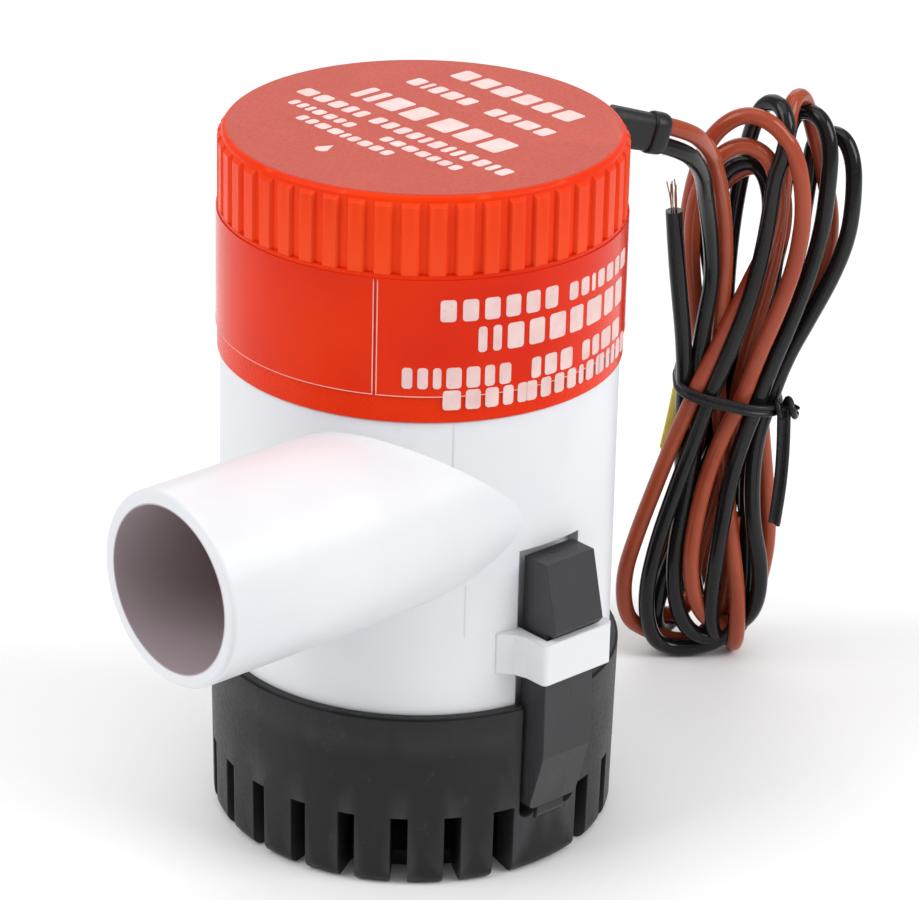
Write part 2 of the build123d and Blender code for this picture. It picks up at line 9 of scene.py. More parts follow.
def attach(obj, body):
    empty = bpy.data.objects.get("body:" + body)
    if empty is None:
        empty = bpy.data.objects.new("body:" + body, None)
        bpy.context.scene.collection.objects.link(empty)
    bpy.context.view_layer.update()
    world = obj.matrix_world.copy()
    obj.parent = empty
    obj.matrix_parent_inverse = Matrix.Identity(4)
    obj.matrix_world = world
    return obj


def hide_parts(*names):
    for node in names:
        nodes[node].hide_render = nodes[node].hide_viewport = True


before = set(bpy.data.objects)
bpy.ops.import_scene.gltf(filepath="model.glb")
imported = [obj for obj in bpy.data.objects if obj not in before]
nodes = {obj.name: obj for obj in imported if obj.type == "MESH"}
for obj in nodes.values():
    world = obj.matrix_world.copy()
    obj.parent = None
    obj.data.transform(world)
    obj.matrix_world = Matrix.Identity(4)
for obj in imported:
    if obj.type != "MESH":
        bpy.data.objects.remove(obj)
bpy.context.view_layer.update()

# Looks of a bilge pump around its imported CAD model: the camera and light, the
# materials, the two hanked leads, the rubber boot, the ribbon tie, the marker, the
# print and the small moulding lines. Shapes are in millimetres in the row frame and
# become metres as a piece is made. Camera, lights and materials are in metres.

MM = 0.001

# ---- dimensions shared with the CAD, in millimetres ------------------------------
BAND_R = 30.0
FILM_R = 30.2
BODY_R = 29.6
SPIGOT_Y = 15.0
SPIGOT_Z = 58.0
SPIGOT_BORE_R = 12.3
CAP_TOP = 109.0
FILM_BOTTOM = 79.0
CAP_IN_R = 25.5
LEAD_D = 2.7
BOOT_ANGLE = 165.0
BOOT_START_R = 28.4
BOOT_START_Z = 105.2
BOOT_DROP = 0.30
BOOT_L = 9.4
SLEEVE_L = 2.9
PLUG_Z = 103.1
HANK_TURN = 48.0
HANK_CENTRE = (-31.4, -34.9)
TIE_Z = 46.4
TIE_TILT = 14.0

# ---- dimensions of the drawn pieces, in millimetres ------------------------------
TIE_ACROSS = 49.2           # 0.7 nearer the pump than the CAD's, clear of the strands
TIE_HALF_WIDE = 8.6
TIE_HALF_DEEP = 7.3
TIE_LIFT = 2.0
TIE_WAVE = 0.008            # share of the loop's size
KNOT_AT = (0.45, 8.3, 7.2, 2.3)     # turn in radians, half width, half depth, lift
TAIL_LENGTH = 20.0
MARKER_LENGTH = 13.0
MARKER_ABOVE_TIE = 2.6
MARKER_HALF_WIDE = 1.0
MARKER_HALF_THICK = 0.22
SEAM_TOP = 96.6             # just below the film's top edge
PRINT_T = 0.06
PRINT_ROOT = 0.05           # how deep the print sits in the wall under it
LINE_ROOT = 0.1             # how deep a moulding line sits in the wall under it
STRAND_COUNT = 7
STRAND_R = 0.10
STRAND_REACH = 7.0
STRAND_HIDDEN = 0.8         # the part of a strand inside the insulation
STRAND_SEED = 7
FLOOR_HALF_SIZE = 4.0       # in metres
WORLD_STRENGTH = 0.42

# The leads from the boot to the hank, as in the CAD.
BROWN_ROUTE = [
    (-33.40, 8.95, 104.91),
    (-42.19, 11.30, 102.18),
    (-49.4, 9.2, 97.2),
    (-55.8, 5.2, 90.4),
    (-60.9, 1.9, 82.4),
    (-63.9, 0.0, 73.6),
]
BLACK_ROUTE = [
    (-32.57, 8.73, 102.04),
    (-41.36, 11.08, 99.31),
    (-48.7, 8.8, 93.8),
    (-54.3, 4.6, 86.0),
    (-58.9, 1.6, 77.4),
    (-62.3, -0.9, 69.0),
]

# The turns in the hank, in the hank's own directions: across it,
# towards the front, and the height. The tie holds the turns together at 46 mm.
# They stand in this file only, because the CAD has one solid for the whole hank.
BROWN_HANK = [
    # down to the narrow lowest fold, and up behind
    (-2.4, 3, 65.4), (-2.8, 1.8, 56.3), (-2.4, 1.2, 47.7), (-1.1, 1.2, 38.1), (0, 1.6, 29),
    (1.2, 1.8, 21), (2.4, 1.8, 12.7), (2.7, 1.6, 5.8), (2.5, -1.6, 1.4), (1.9, -6.4, 1.6),
    (1.2, -9, 7.4), (1, -7.4, 16.8), (0.8, -5.6, 28), (0.2, -4.6, 39.2), (-1.5, -4.4, 47.7),
    # largest front loop
    (-4.6, -4, 56.3), (-7, -3.4, 64.4), (-8.3, -2.6, 71.5), (-8.3, -1.6, 78.5), (-7.2, 0.2, 86.2),
    (-5.1, 1.5, 92.3), (-0.6, 2.6, 96.1), (4.1, 3.4, 94.8), (7.8, 4, 90.1), (9.5, 4.4, 82.1),
    (9, 4.6, 73.5), (6.5, 4.8, 64.4), (3.3, 5, 55.8), (1.2, 4.8, 48.3), (-1.8, 4.6, 41.6),
    (-4, 4, 33.6), (-5.3, 3.4, 25), (-5.7, 2.8, 17.3), (-4.2, 1.6, 10.1), (-1, -0.6, 5.7),
    (3.1, -3, 5.7), (6.1, -3.8, 11.2), (7.3, -3.4, 18.9), (7, -2.6, 25.9), (5.9, -2, 35),
    (4.4, -1.8, 46.7),
    # narrow loop that stands highest, behind
    (7.2, -3, 54.2), (11.3, -4.2, 61.4), (14.3, -5.2, 68.4), (15, -6.4, 75.5), (13, -7.8, 83.6),
    (11, -8.4, 90.7), (9.4, -6.6, 95.9), (7.3, -2.4, 96.7), (6.4, 0.3, 92.2), (6.3, 0.6, 84.6),
    (5.9, 0.6, 74.5),
    (4.4, 0.2, 65.4), (2.5, -0.4, 56.3), (1, -0.8, 47.7), (0, -1.2, 38.1), (-2, -2, 28),
    (-4.2, -2.8, 18.9), (-4.9, -3.8, 10.6), (-2.4, -5.4, 4.8), (2.3, -6.4, 4.2), (5.3, -6.4, 10.1),
    (5.5, -5.8, 18.9), (4.4, -5.4, 28), (3.3, -5, 38.1), (2.3, -4.6, 47.7),
    # low inner loop
    (0.2, -5, 56.3), (-2.8, -5.2, 64.4), (-5.3, -4.8, 71.5), (-5.1, -4, 78.5), (-2, -3, 83.6),
    (2.3, -2.6, 85.9), (6.3, -4, 82.6), (7.5, -6, 75.5), (6.3, -6.8, 67.5), (4.7, -6.4, 58.3),
    (3.7, -5.6, 47.7), (2.9, -6, 37.1), (1, -6.8, 27), (-1.3, -7.4, 17.9), (-3.5, -7.4, 11.4),
    (-4.8, -7.5, 6.1), (-7.8, -6.6, 4.4), (-10.8, -4.9, 5.7), (-11.3, -3.4, 10.8),
    (-10.5, -1.6, 17.9), (-7.8, -1.2, 28), (-5.1, -1.4, 38.1), (-4, -1.6, 47.7),
    # loop that crosses in front to the lower left
    (-5.5, -1.6, 56.3), (-7, -1.2, 65.4), (-7.8, -0.4, 74.5), (-7.2, 0.8, 82.6), (-4.2, 1.6, 88.7),
    (0, 2, 90.9), (4.2, 2, 88.3), (5.9, 1.8, 81.6), (4.7, 2.2, 74.5), (2.3, 2.8, 69.4),
    (-0.3, 3.8, 63.6), (-3.1, 4.6, 57.1), (-5.5, 4.8, 51.7), (-7.2, 4.6, 46.7), (-9.3, 3.8, 40.6),
    (-11.9, 3, 32), (-14.4, 2, 23.4), (-16.4, 1, 14.9), (-15.6, 0, 7), (-11.9, -1.4, 4.2),
    (-7.8, -2.8, 1.6), (-3, -3.8, 1.6), (0.2, -3.8, 6.4), (1.2, -3, 14.9), (1.5, -2.4, 25),
]
BLACK_HANK = [
    # down to the inner lower fold
    (-5.3, 4.2, 61.4), (-5.9, 3.2, 54.2), (-5.5, 2.2, 47.2), (-5.7, 2.6, 38.1), (-7, 2.4, 29),
    (-8.3, 2, 19.9), (-7.8, 1.4, 10.6), (-5.1, 0.4, 4.6), (-0.4, -0.8, 3.1), (3.9, -2.4, 4.6),
    (5.1, -4.4, 11.7), (4.2, -5.2, 21), (2.5, -5.6, 31), (0.8, -5.8, 41.1), (-0.6, -6, 49.2),
    # loop behind the front loop, down across the middle
    (-1.3, -5.8, 58.3), (-1.3, -5.4, 67.5), (-0.8, -5, 76.6), (0.2, -4.6, 84.6), (1.3, -4.2, 91.4),
    (3, -2.6, 96.1), (5.4, 0.7, 96.9), (6.5, 3.2, 93.6), (5.8, 3.6, 89.1), (4.7, 3.2, 85.7),
    (4.2, 3.6, 79.6), (3.3, 4.2, 73),
    (1.6, 5, 65.2), (-1.1, 5.6, 57.3), (-4, 5.4, 48.8), (-6.1, 4.8, 41.1), (-8.7, 4, 32),
    (-11.3, 3, 21.9), (-12.7, 2, 12.2), (-11.5, 0.6, 4), (-8.1, -0.6, 1.4), (-3.6, -0.8, 1.5),
    (0.8, -0.8, 3.3), (3.7, -2, 8.4), (4.1, -2.4, 17.9), (3.3, -2.6, 28), (3.1, -2.8, 38.1),
    (3.5, -3.2, 47.7),
    # inner of the two right-hand loops
    (4.9, -4.4, 57.3), (6.1, -5.4, 66.4), (6.7, -6.2, 75.5), (7.3, -6.6, 84.6), (7.1, -7.3, 89.7),
    (8.7, -6.6, 93.6), (12, -3.6, 93.6), (13.6, -1.6, 89.5), (13.5, -0.6, 83.2), (12.8, 0.2, 75.5),
    (11, 1.6, 68.4), (8.4, 2.8, 60.9),
    (5.7, 3.6, 53.7), (3.9, 4, 47.7), (1.9, 4, 41.6), (0.1, 3.8, 34.1), (-1, 3.2, 24),
    (-1.8, 2.4, 14.9), (-1.8, 1, 6.4), (0.2, -2.4, 1.9), (3.7, -6, 3.1), (5.3, -7.2, 10.6),
    (4.9, -7, 21), (4.1, -6.6, 31), (4.4, -5.6, 41.1), (5.7, -4.6, 48.8),
    # outermost right-hand loop
    (7.5, -5.8, 57.3), (9.5, -7, 66.4), (10.5, -7.8, 75.5), (11.2, -8.2, 82.4), (11.2, -8.7, 85.8),
    (12.3, -8.8, 88.7), (15.9, -6.6, 89.5), (17.7, -4.8, 85.8), (17.9, -3.4, 80), (17.3, -2.6, 73.5),
    (15, -1.8, 67), (11.6, -0.8, 60.3),
    (8.2, 0.4, 53.8), (6.1, 1.4, 47.4), (4.3, 1.8, 41.6), (3.7, 2, 34.1), (4.2, 2, 25.5),
    (6.1, 1.6, 17.3), (5.7, 0.4, 9.5), (2.7, -2, 4.8), (-1.8, -3.4, 4.8), (-4.4, -3.6, 10.6),
    (-5.1, -3, 19.9), (-4, -2.6, 30.1), (-2.4, -2.6, 39.2), (-1.8, -2.4, 48.3),
    # inner loop, and up to the free end
    (-2.4, -1.6, 57.3), (-3.8, -1.2, 65.4), (-5.3, -1.4, 73.5), (-5.1, -1.8, 80.6), (-1.5, -2, 86.2),
    (3.1, -2.6, 85.7), (5.1, -3.6, 78.5), (4.2, -4, 69.4), (2.7, -3.6, 59.3), (0.8, -3, 49.2),
    (-1.5, -2, 39.2), (-5.1, -1, 29), (-8.1, -0.4, 19.9), (-10.1, -0.6, 11.7), (-10.8, -2, 6.5),
    (-9.8, -4.4, 2.8), (-7.4, -8, 2.8), (-5.7, -9.2, 6.5), (-5.7, -8.6, 11.7), (-6.1, -6.4, 19.9),
    (-7, -3.4, 30.1), (-7.8, 0.2, 40.1),
    (-7.8, 3, 49.2), (-8.4, 4.6, 58.3), (-9.6, 5.6, 67.5), (-10.4, 6.2, 74.2), (-11, 6.4, 81),
]
HANK_ORIGIN = (50.0, -47.0)     # across and towards the front


# ---- small helpers ---------------------------------------------------------------
def directions():
    """The hank's directions across and towards the front."""
    turn = math.radians(HANK_TURN)
    return Vector((-math.sin(turn), math.cos(turn), 0)), Vector((math.cos(turn), math.sin(turn), 0))


def hank_point(across, front, height):
    """A point of the hank, in millimetres of the row frame."""
    side, ahead = directions()
    level = side * (HANK_ORIGIN[0] + across) + ahead * (HANK_ORIGIN[1] + front)
    return level + Vector((0, 0, height))


def polar(radius, angle, height):
    """A point at a radius and an angle in degrees round the pump's axis."""
    turn = math.radians(angle)
    return Vector((radius * math.cos(turn), radius * math.sin(turn), height))


def mesh_object(name, points, faces, material, smooth=True):
    """A mesh piece from points in millimetres."""
    mesh = bpy.data.meshes.new(name)
    mesh.from_pydata([tuple(Vector(p) * MM) for p in points], [], faces)
    builder = bmesh.new()
    builder.from_mesh(mesh)
    bmesh.ops.recalc_face_normals(builder, faces=builder.faces)
    builder.to_mesh(mesh)
    builder.free()
    mesh.materials.append(material)
    for face in mesh.polygons:
        face.use_smooth = smooth
    piece = bpy.data.objects.new(name, mesh)
    bpy.context.collection.objects.link(piece)
    return piece


def curve_object(name, lines, radius, material):
    """Round threads along NURBS lines, all with the same radius in millimetres."""
    curve = bpy.data.curves.new(name, "CURVE")
    curve.dimensions = "3D"
    curve.bevel_depth = radius * MM
    curve.bevel_resolution = 5
    curve.resolution_u = 8
    curve.use_fill_caps = True
    for line in lines:
        spline = curve.splines.new("NURBS")
        spline.points.add(len(line) - 1)
        for point, place in zip(spline.points, line):
            point.co = (*(Vector(place) * MM), 1)
        spline.order_u = 3
        spline.use_endpoint_u = True
    curve.materials.append(material)
    piece = bpy.data.objects.new(name, curve)
    bpy.context.collection.objects.link(piece)
    return piece


def tube(rings, closed=False):
    """Points and faces of a tube through rings of the same number of points."""
    count = len(rings[0])
    points = [p for one in rings for p in one]
    faces = []
    spans = len(rings) if closed else len(rings) - 1
    for i in range(spans):
        a = i * count
        b = ((i + 1) % len(rings)) * count
        for k in range(count):
            n = (k + 1) % count
            faces.append((a + k, a + n, b + n, b + k))
    if not closed:
        faces.append(tuple(range(count)))
        faces.append(tuple(range((len(rings) - 1) * count, len(rings) * count)))
    return points, faces


# ---- camera ----------------------------------------------------------------------
# Place and aim in metres, roll in degrees, lens and sensor in millimetres.
CAMERA_PLACE = (0.40353, 0.45133, 0.32801)
CAMERA_AIM = (-0.00464, 0.00415, 0.05750)
CAMERA_ROLL = 1.37
CAMERA_LENS = 173.7
CAMERA_SENSOR = 36


def make_camera():
    """The photo's camera, fitted to the pump's round edges."""
    data = bpy.data.cameras.new("camera")
    data.lens = CAMERA_LENS
    data.sensor_width = CAMERA_SENSOR
    data.sensor_fit = "HORIZONTAL"
    data.clip_end = 20
    camera = bpy.data.objects.new("camera", data)
    bpy.context.collection.objects.link(camera)
    back = (Vector(CAMERA_PLACE) - Vector(CAMERA_AIM)).normalized()
    level = Vector((0, 0, 1)).cross(back).normalized()
    upright = back.cross(level)
    roll = math.radians(CAMERA_ROLL)
    right = level * math.cos(roll) + upright * math.sin(roll)
    up = back.cross(right)
    turn = Matrix((right, up, back)).transposed().to_4x4()
    camera.matrix_world = Matrix.Translation(CAMERA_PLACE) @ turn
    bpy.context.scene.camera = camera


# ---- materials -------------------------------------------------------------------
class Finish:
    """A node material: noise for colour, roughness and a fine bump, in metres."""

    def __init__(self, name, colour, colour_b, rough, rough_b, patch=40.0, grain=1800.0,
                 bump=0.00002, bump_strength=0.4, round_edge=0.0, **sockets):
        self.material = bpy.data.materials.new(name)
        self.material.use_nodes = True
        self.tree = self.material.node_tree
        self.tree.nodes.clear()
        self.place = self.add("ShaderNodeTexCoord").outputs["Object"]
        self.shader = self.add("ShaderNodeBsdfPrincipled")
        output = self.add("ShaderNodeOutputMaterial")
        self.link(self.shader.outputs["BSDF"], output.inputs["Surface"])
        for socket, value in sockets.items():
            self.shader.inputs[socket.replace("_", " ")].default_value = value
        self.patches = self.noise(patch, detail=3)
        self.colour = self.mix(self.ramp(self.patches, 0.35, 0.65), colour, colour_b)
        fine = self.noise(grain, detail=2)
        self.rough = self.spread(fine, rough, rough_b)
        self.normal = self.bump(fine, bump, bump_strength, self.bevel(round_edge))
        self.join()

    def add(self, kind):
        return self.tree.nodes.new(kind)

    def link(self, source, socket):
        self.tree.links.new(source, socket)

    def noise(self, scale, detail=2, stretch=None, rough=0.55):
        node = self.add("ShaderNodeTexNoise")
        node.inputs["Scale"].default_value = scale
        node.inputs["Detail"].default_value = detail
        node.inputs["Roughness"].default_value = rough
        source = self.place
        if stretch:
            mapping = self.add("ShaderNodeMapping")
            mapping.inputs["Scale"].default_value = stretch
            self.link(self.place, mapping.inputs["Vector"])
            source = mapping.outputs["Vector"]
        self.link(source, node.inputs["Vector"])
        return node.outputs["Fac"]

    def ramp(self, source, low, high):
        """0 below low and 1 above high."""
        return self.spread(source, 0, 1, low, high)

    def spread(self, source, a, b, low=0.3, high=0.7):
        node = self.add("ShaderNodeMapRange")
        node.inputs["From Min"].default_value = low
        node.inputs["From Max"].default_value = high
        node.inputs["To Min"].default_value = a
        node.inputs["To Max"].default_value = b
        self.link(source, node.inputs["Value"])
        return node.outputs["Result"]

    def mix(self, factor, a, b):
        """A colour between a and b; each is a colour or another node's output."""
        node = self.add("ShaderNodeMix")
        node.data_type = "RGBA"
        self.link(factor, node.inputs["Factor"])
        for name, value in (("A", a), ("B", b)):
            socket = [s for s in node.inputs if s.name == name and s.type == "RGBA"][0]
            if isinstance(value, tuple):
                socket.default_value = (*value, 1)
            else:
                self.link(value, socket)
        return [s for s in node.outputs if s.type == "RGBA"][0]

    def mix_value(self, a, b, share):
        """A number between two nodes' outputs."""
        node = self.add("ShaderNodeMix")
        node.inputs["Factor"].default_value = share
        self.link(a, node.inputs["A"])
        self.link(b, node.inputs["B"])
        return node.outputs["Result"]

    def bump(self, source, distance, strength, normal=None):
        node = self.add("ShaderNodeBump")
        node.inputs["Distance"].default_value = distance
        node.inputs["Strength"].default_value = strength
        self.link(source, node.inputs["Height"])
        if normal:
            self.link(normal, node.inputs["Normal"])
        return node.outputs["Normal"]

    def bevel(self, radius):
        """Edges shaded as rounded to this radius, in metres."""
        if not radius:
            return None
        node = self.add("ShaderNodeBevel")
        node.samples = 4
        node.inputs["Radius"].default_value = radius
        return node.outputs["Normal"]

    def facing_up(self):
        """1 where the surface faces up, 0 elsewhere."""
        geometry = self.add("ShaderNodeNewGeometry")
        split = self.add("ShaderNodeSeparateXYZ")
        self.link(geometry.outputs["Normal"], split.inputs["Vector"])
        return self.ramp(split.outputs["Z"], 0.90, 0.98)

    def worn_edges(self, amount, colour):
        """A lighter tone along the outer edges."""
        geometry = self.add("ShaderNodeNewGeometry")
        edge = self.spread(geometry.outputs["Pointiness"], 0, amount, 0.52, 0.60)
        self.colour = self.mix(edge, self.colour, colour)

    def join(self):
        self.link(self.colour, self.shader.inputs["Base Color"])
        self.link(self.rough, self.shader.inputs["Roughness"])
        self.link(self.normal, self.shader.inputs["Normal"])


def base_plastic():
    """Black moulded plastic with a fine grain and paler, rubbed edges."""
    finish = Finish("base_plastic", (0.008, 0.008, 0.009), (0.012, 0.012, 0.013), 0.36, 0.5,
                    round_edge=0.00035, bump=0.00003, bump_strength=0.5, Specular_IOR_Level=0.26)
    finish.worn_edges(0.5, (0.075, 0.075, 0.08))
    scuff = finish.ramp(finish.noise(260, detail=6, rough=0.7), 0.62, 0.80)
    finish.colour = finish.mix(scuff, finish.colour, (0.045, 0.045, 0.048))
    finish.join()
    return finish.material


def latch_plastic():
    """The same black plastic with faint upright lines."""
    finish = Finish("latch_plastic", (0.008, 0.008, 0.009), (0.013, 0.013, 0.014), 0.3, 0.45,
                    round_edge=0.0003, Specular_IOR_Level=0.26)
    drawn = finish.noise(900, detail=3, stretch=(1, 1, 0.05))
    finish.rough = finish.spread(drawn, 0.24, 0.46)
    finish.normal = finish.bump(drawn, 0.00002, 0.3, finish.normal)
    finish.worn_edges(0.4, (0.08, 0.08, 0.085))
    finish.join()
    return finish.material


def body_plastic():
    """White moulded plastic, faintly blue, with a satin skin."""
    finish = Finish("body_plastic", (0.70, 0.71, 0.745), (0.76, 0.77, 0.79), 0.30, 0.42,
                    round_edge=0.0003, bump=0.000012, bump_strength=0.35, patch=25,
                    Specular_IOR_Level=0.35)
    soil = finish.ramp(finish.noise(90, detail=6, rough=0.7), 0.66, 0.86)
    finish.colour = finish.mix(soil, finish.colour, (0.62, 0.63, 0.655))
    # painted shade: the spigot's bore is coloured a dark mauve grey for the shade inside it
    finish.colour = finish.mix(painted_bore_shade(finish), finish.colour, (0.42, 0.345, 0.365))
    finish.join()
    return finish.material


def painted_bore_shade(finish):
    """1 on the spigot's bore, where shade is painted as a dark mauve grey, and 0 outside it."""
    centred = finish.add("ShaderNodeVectorMath")
    centred.operation = "SUBTRACT"
    centred.inputs[1].default_value = (0, SPIGOT_Y * MM, SPIGOT_Z * MM)
    finish.link(finish.place, centred.inputs[0])
    flat = finish.add("ShaderNodeVectorMath")
    flat.operation = "MULTIPLY"
    flat.inputs[1].default_value = (0, 1, 1)
    finish.link(centred.outputs["Vector"], flat.inputs[0])
    reach = finish.add("ShaderNodeVectorMath")
    reach.operation = "LENGTH"
    finish.link(flat.outputs["Vector"], reach.inputs[0])
    within = finish.spread(reach.outputs["Value"], 1, 0, (SPIGOT_BORE_R + 0.1) * MM,
                           (SPIGOT_BORE_R + 0.3) * MM)
    split = finish.add("ShaderNodeSeparateXYZ")
    finish.link(finish.place, split.inputs["Vector"])
    outside = finish.spread(split.outputs["X"], 0, 1, 0.010, 0.012)
    both = finish.add("ShaderNodeMath")
    both.operation = "MULTIPLY"
    finish.link(within, both.inputs[0])
    finish.link(outside, both.inputs[1])
    return both.outputs["Value"]


def housing_plastic():
    """Orange-red moulded plastic."""
    finish = Finish("housing_plastic", (0.66, 0.018, 0.002), (0.76, 0.032, 0.002), 0.24, 0.34,
                    round_edge=0.00025, bump=0.00001, bump_strength=0.3, patch=28,
                    Specular_IOR_Level=0.22, Specular_Tint=(1, 0.5, 0.3, 1))
    return finish.material


def cap_plastic():
    """The same plastic; the cap's top face is painted a duller, pinker red as a painted reflection
    of the bright surroundings.
    """
    finish = Finish("cap_plastic", (0.72, 0.024, 0.002), (0.82, 0.042, 0.002), 0.28, 0.42,
                    round_edge=0.00025, patch=28,
                    Specular_IOR_Level=0.17, Specular_Tint=(1, 0.55, 0.4, 1))
    # painted reflection: faces that point up get a duller, pinker red for the white surroundings
    # reflected in them
    top = finish.facing_up()
    painted_top_reflection = finish.mix(finish.noise(120, detail=5), (0.40, 0.034, 0.016), (0.48, 0.050, 0.024))
    finish.colour = finish.mix(top, finish.colour, painted_top_reflection)
    flow = finish.noise(160)
    finish.normal = finish.bump(flow, 0.00003, 0.15, finish.normal)
    finish.worn_edges(0.35, (0.90, 0.11, 0.035))
    finish.join()
    return finish.material


def film_material():
    """Printed film, glossier than the housing under it."""
    finish = Finish("label_film", (0.60, 0.014, 0.004), (0.72, 0.028, 0.002), 0.14, 0.22,
                    bump=0.00001, bump_strength=0.2, patch=30,
                    Specular_IOR_Level=0.25, Specular_Tint=(1, 0.5, 0.35, 1))
    ripple = finish.noise(70, detail=1, stretch=(1, 1, 0.3))
    finish.normal = finish.bump(ripple, 0.0002, 0.12, finish.normal)
    finish.join()
    return finish.material


def print_ink():
    """Pinkish white screen print with worn specks."""
    finish = Finish("print_ink", (0.70, 0.47, 0.45), (0.78, 0.57, 0.54), 0.38, 0.5, patch=300)
    speck = finish.ramp(finish.noise(1400, detail=4, rough=0.7), 0.66, 0.74)
    finish.colour = finish.mix(speck, finish.colour, (0.75, 0.22, 0.15))
    finish.join()
    return finish.material


def rubber(name, a, b, rough, rough_b):
    """Dull black rubber with a coarser bump than the plastics."""
    return Finish(name, a, b, rough, rough_b, bump=0.00004, bump_strength=0.5,
                  round_edge=0.0003, grain=2400, Specular_IOR_Level=0.28).material


def vinyl(name, a, b):
    """Glossy wire insulation with a few dull scuffs."""
    finish = Finish(name, a, b, 0.20, 0.30, patch=90, grain=1500, bump_strength=0.3,
                    Specular_IOR_Level=0.28)
    scuff = finish.ramp(finish.noise(420, detail=6, rough=0.75), 0.60, 0.75)
    finish.rough = finish.mix_value(finish.rough, scuff, 0.5)
    finish.join()
    return finish.material


def metal(name, a, b, rough, rough_b):
    """Turned or rolled metal: fine lines round the axis."""
    finish = Finish(name, a, b, rough, rough_b, patch=120, Metallic=1.0)
    turned = finish.noise(900, stretch=(1, 1, 12))
    finish.rough = finish.spread(turned, rough, rough_b)
    finish.normal = finish.bump(turned, 0.00001, 0.3, finish.normal)
    finish.join()
    return finish.material


def laminations():
    """Steel with level bands 3 mm high, for the stack of sheets it is made of."""
    finish = Finish("core_steel", (0.20, 0.20, 0.21), (0.27, 0.27, 0.28), 0.35, 0.5, Metallic=1.0)
    wave = finish.add("ShaderNodeTexWave")
    wave.bands_direction = "Z"
    wave.inputs["Scale"].default_value = 100
    finish.link(finish.place, wave.inputs["Vector"])
    finish.normal = finish.bump(wave.outputs["Fac"], 0.00008, 0.6, finish.normal)
    finish.join()
    return finish.material


def nodes_finishes():
    """A material on every CAD node that stays. Gives back the bared strands' copper."""
    body = body_plastic()
    base = base_plastic()
    latch = latch_plastic()
    housing = housing_plastic()
    dark = rubber("seal_rubber", (0.016, 0.016, 0.017), (0.024, 0.024, 0.026), 0.45, 0.6)
    steel = metal("shaft_steel", (0.60, 0.60, 0.61), (0.68, 0.68, 0.69), 0.16, 0.30)
    brass = metal("terminal_brass", (0.62, 0.45, 0.18), (0.72, 0.54, 0.24), 0.22, 0.38)
    bronze = metal("bearing_bronze", (0.44, 0.27, 0.13), (0.54, 0.34, 0.17), 0.38, 0.55)
    can = metal("can_steel", (0.50, 0.51, 0.52), (0.60, 0.61, 0.62), 0.24, 0.40)
    copper = metal("commutator_copper", (0.62, 0.28, 0.14), (0.72, 0.34, 0.18), 0.25, 0.40)
    winding = Finish("winding_copper", (0.42, 0.14, 0.05), (0.52, 0.19, 0.07), 0.22, 0.35,
                     Coat_Weight=0.6, Coat_Roughness=0.1).material
    ferrite = Finish("magnet_ferrite", (0.035, 0.034, 0.034), (0.055, 0.053, 0.052), 0.55, 0.75,
                     bump=0.00006, round_edge=0.0003).material
    carbon = Finish("brush_carbon", (0.020, 0.020, 0.021), (0.035, 0.035, 0.037), 0.30, 0.50,
                    grain=3000).material
    wheel = Finish("impeller_plastic", (0.045, 0.047, 0.050), (0.060, 0.062, 0.066), 0.35, 0.5,
                   round_edge=0.0003).material
    plate = Finish("plate_plastic", (0.10, 0.075, 0.050), (0.13, 0.095, 0.060), 0.40, 0.55,
                   round_edge=0.0003).material
    strand = metal("strand_copper", (0.26, 0.115, 0.070), (0.36, 0.165, 0.095), 0.34, 0.50)
    wear = {
        "strainer_base": base,
        "latch_finger_left": latch,
        "latch_finger_right": latch,
        "pump_body": body,
        "volute_plate": body,
        "motor_housing": housing,
        "motor_cap": cap_plastic(),
        "label_wrap": film_material(),
        "housing_o_ring": dark,
        "shaft_seal": dark,
        "seal_washer": steel,
        "motor_shaft": steel,
        "impeller": wheel,
        "armature_core": laminations(),
        "armature_windings": winding,
        "commutator": copper,
        "motor_can": can,
        "magnets": ferrite,
        "lower_bearing": bronze,
        "upper_bearing": bronze,
        "brush_plate": plate,
        "brushes": carbon,
        "brush_springs": brass,
        "terminals": brass,
        "inner_leads": strand,
    }
    for name, material in wear.items():
        piece = nodes[name]
        piece.data.materials.clear()
        piece.data.materials.append(material)
    return strand


# ---- leads -----------------------------------------------------------------------
def lead_line(route, turns):
    """The whole lead in millimetres: its route to the hank and then its turns."""
    return [Vector(p) for p in route] + [hank_point(*p) for p in turns]


def make_strands(tip, lean, material):
    """Bared copper strands, splayed a little from the cut end."""
    draw = random.Random(STRAND_SEED)
    side, ahead = directions()
    lines = []
    for k in range(STRAND_COUNT):
        turn = 2 * math.pi * k / STRAND_COUNT
        out = side * math.cos(turn) + ahead * math.sin(turn)
        spread = draw.uniform(-0.25, 0.45)
        long = STRAND_REACH * draw.uniform(0.75, 1.0)
        line = []
        for step in range(6):
            share = step / 5
            kink = Vector([draw.uniform(-0.18, 0.18) * share for _ in range(3)])
            along = lean * (share * long - STRAND_HIDDEN)
            line.append(tip + along + out * (0.45 + spread * share ** 2) + kink)
        lines.append(line)
    return curve_object("bare_strands", lines, STRAND_R, material)


def make_leads(strand):
    brown = vinyl("lead_brown_vinyl", (0.30, 0.052, 0.022), (0.37, 0.070, 0.030))
    black = vinyl("lead_black_vinyl", (0.007, 0.007, 0.008), (0.012, 0.012, 0.013))
    brown_line = lead_line(BROWN_ROUTE, BROWN_HANK)
    black_line = lead_line(BLACK_ROUTE, BLACK_HANK)
    brown_lead = curve_object("brown_lead", [brown_line], LEAD_D / 2, brown)
    black_lead = curve_object("black_lead", [black_line], LEAD_D / 2, black)
    tip = black_line[-1]
    lean = (tip - black_line[-2]).normalized()
    strands = make_strands(tip, lean, strand)
    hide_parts("lead_brown", "wire_hank")
    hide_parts("lead_black", "lead_free_end")
    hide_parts("lead_strands")
    for piece in (brown_lead, black_lead, strands):
        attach(piece, "pump")


# ---- boot ------------------------------------------------------------------------
def boot_axis():
    reach = math.radians(BOOT_ANGLE)
    return Vector((math.cos(reach), math.sin(reach), -BOOT_DROP)).normalized()


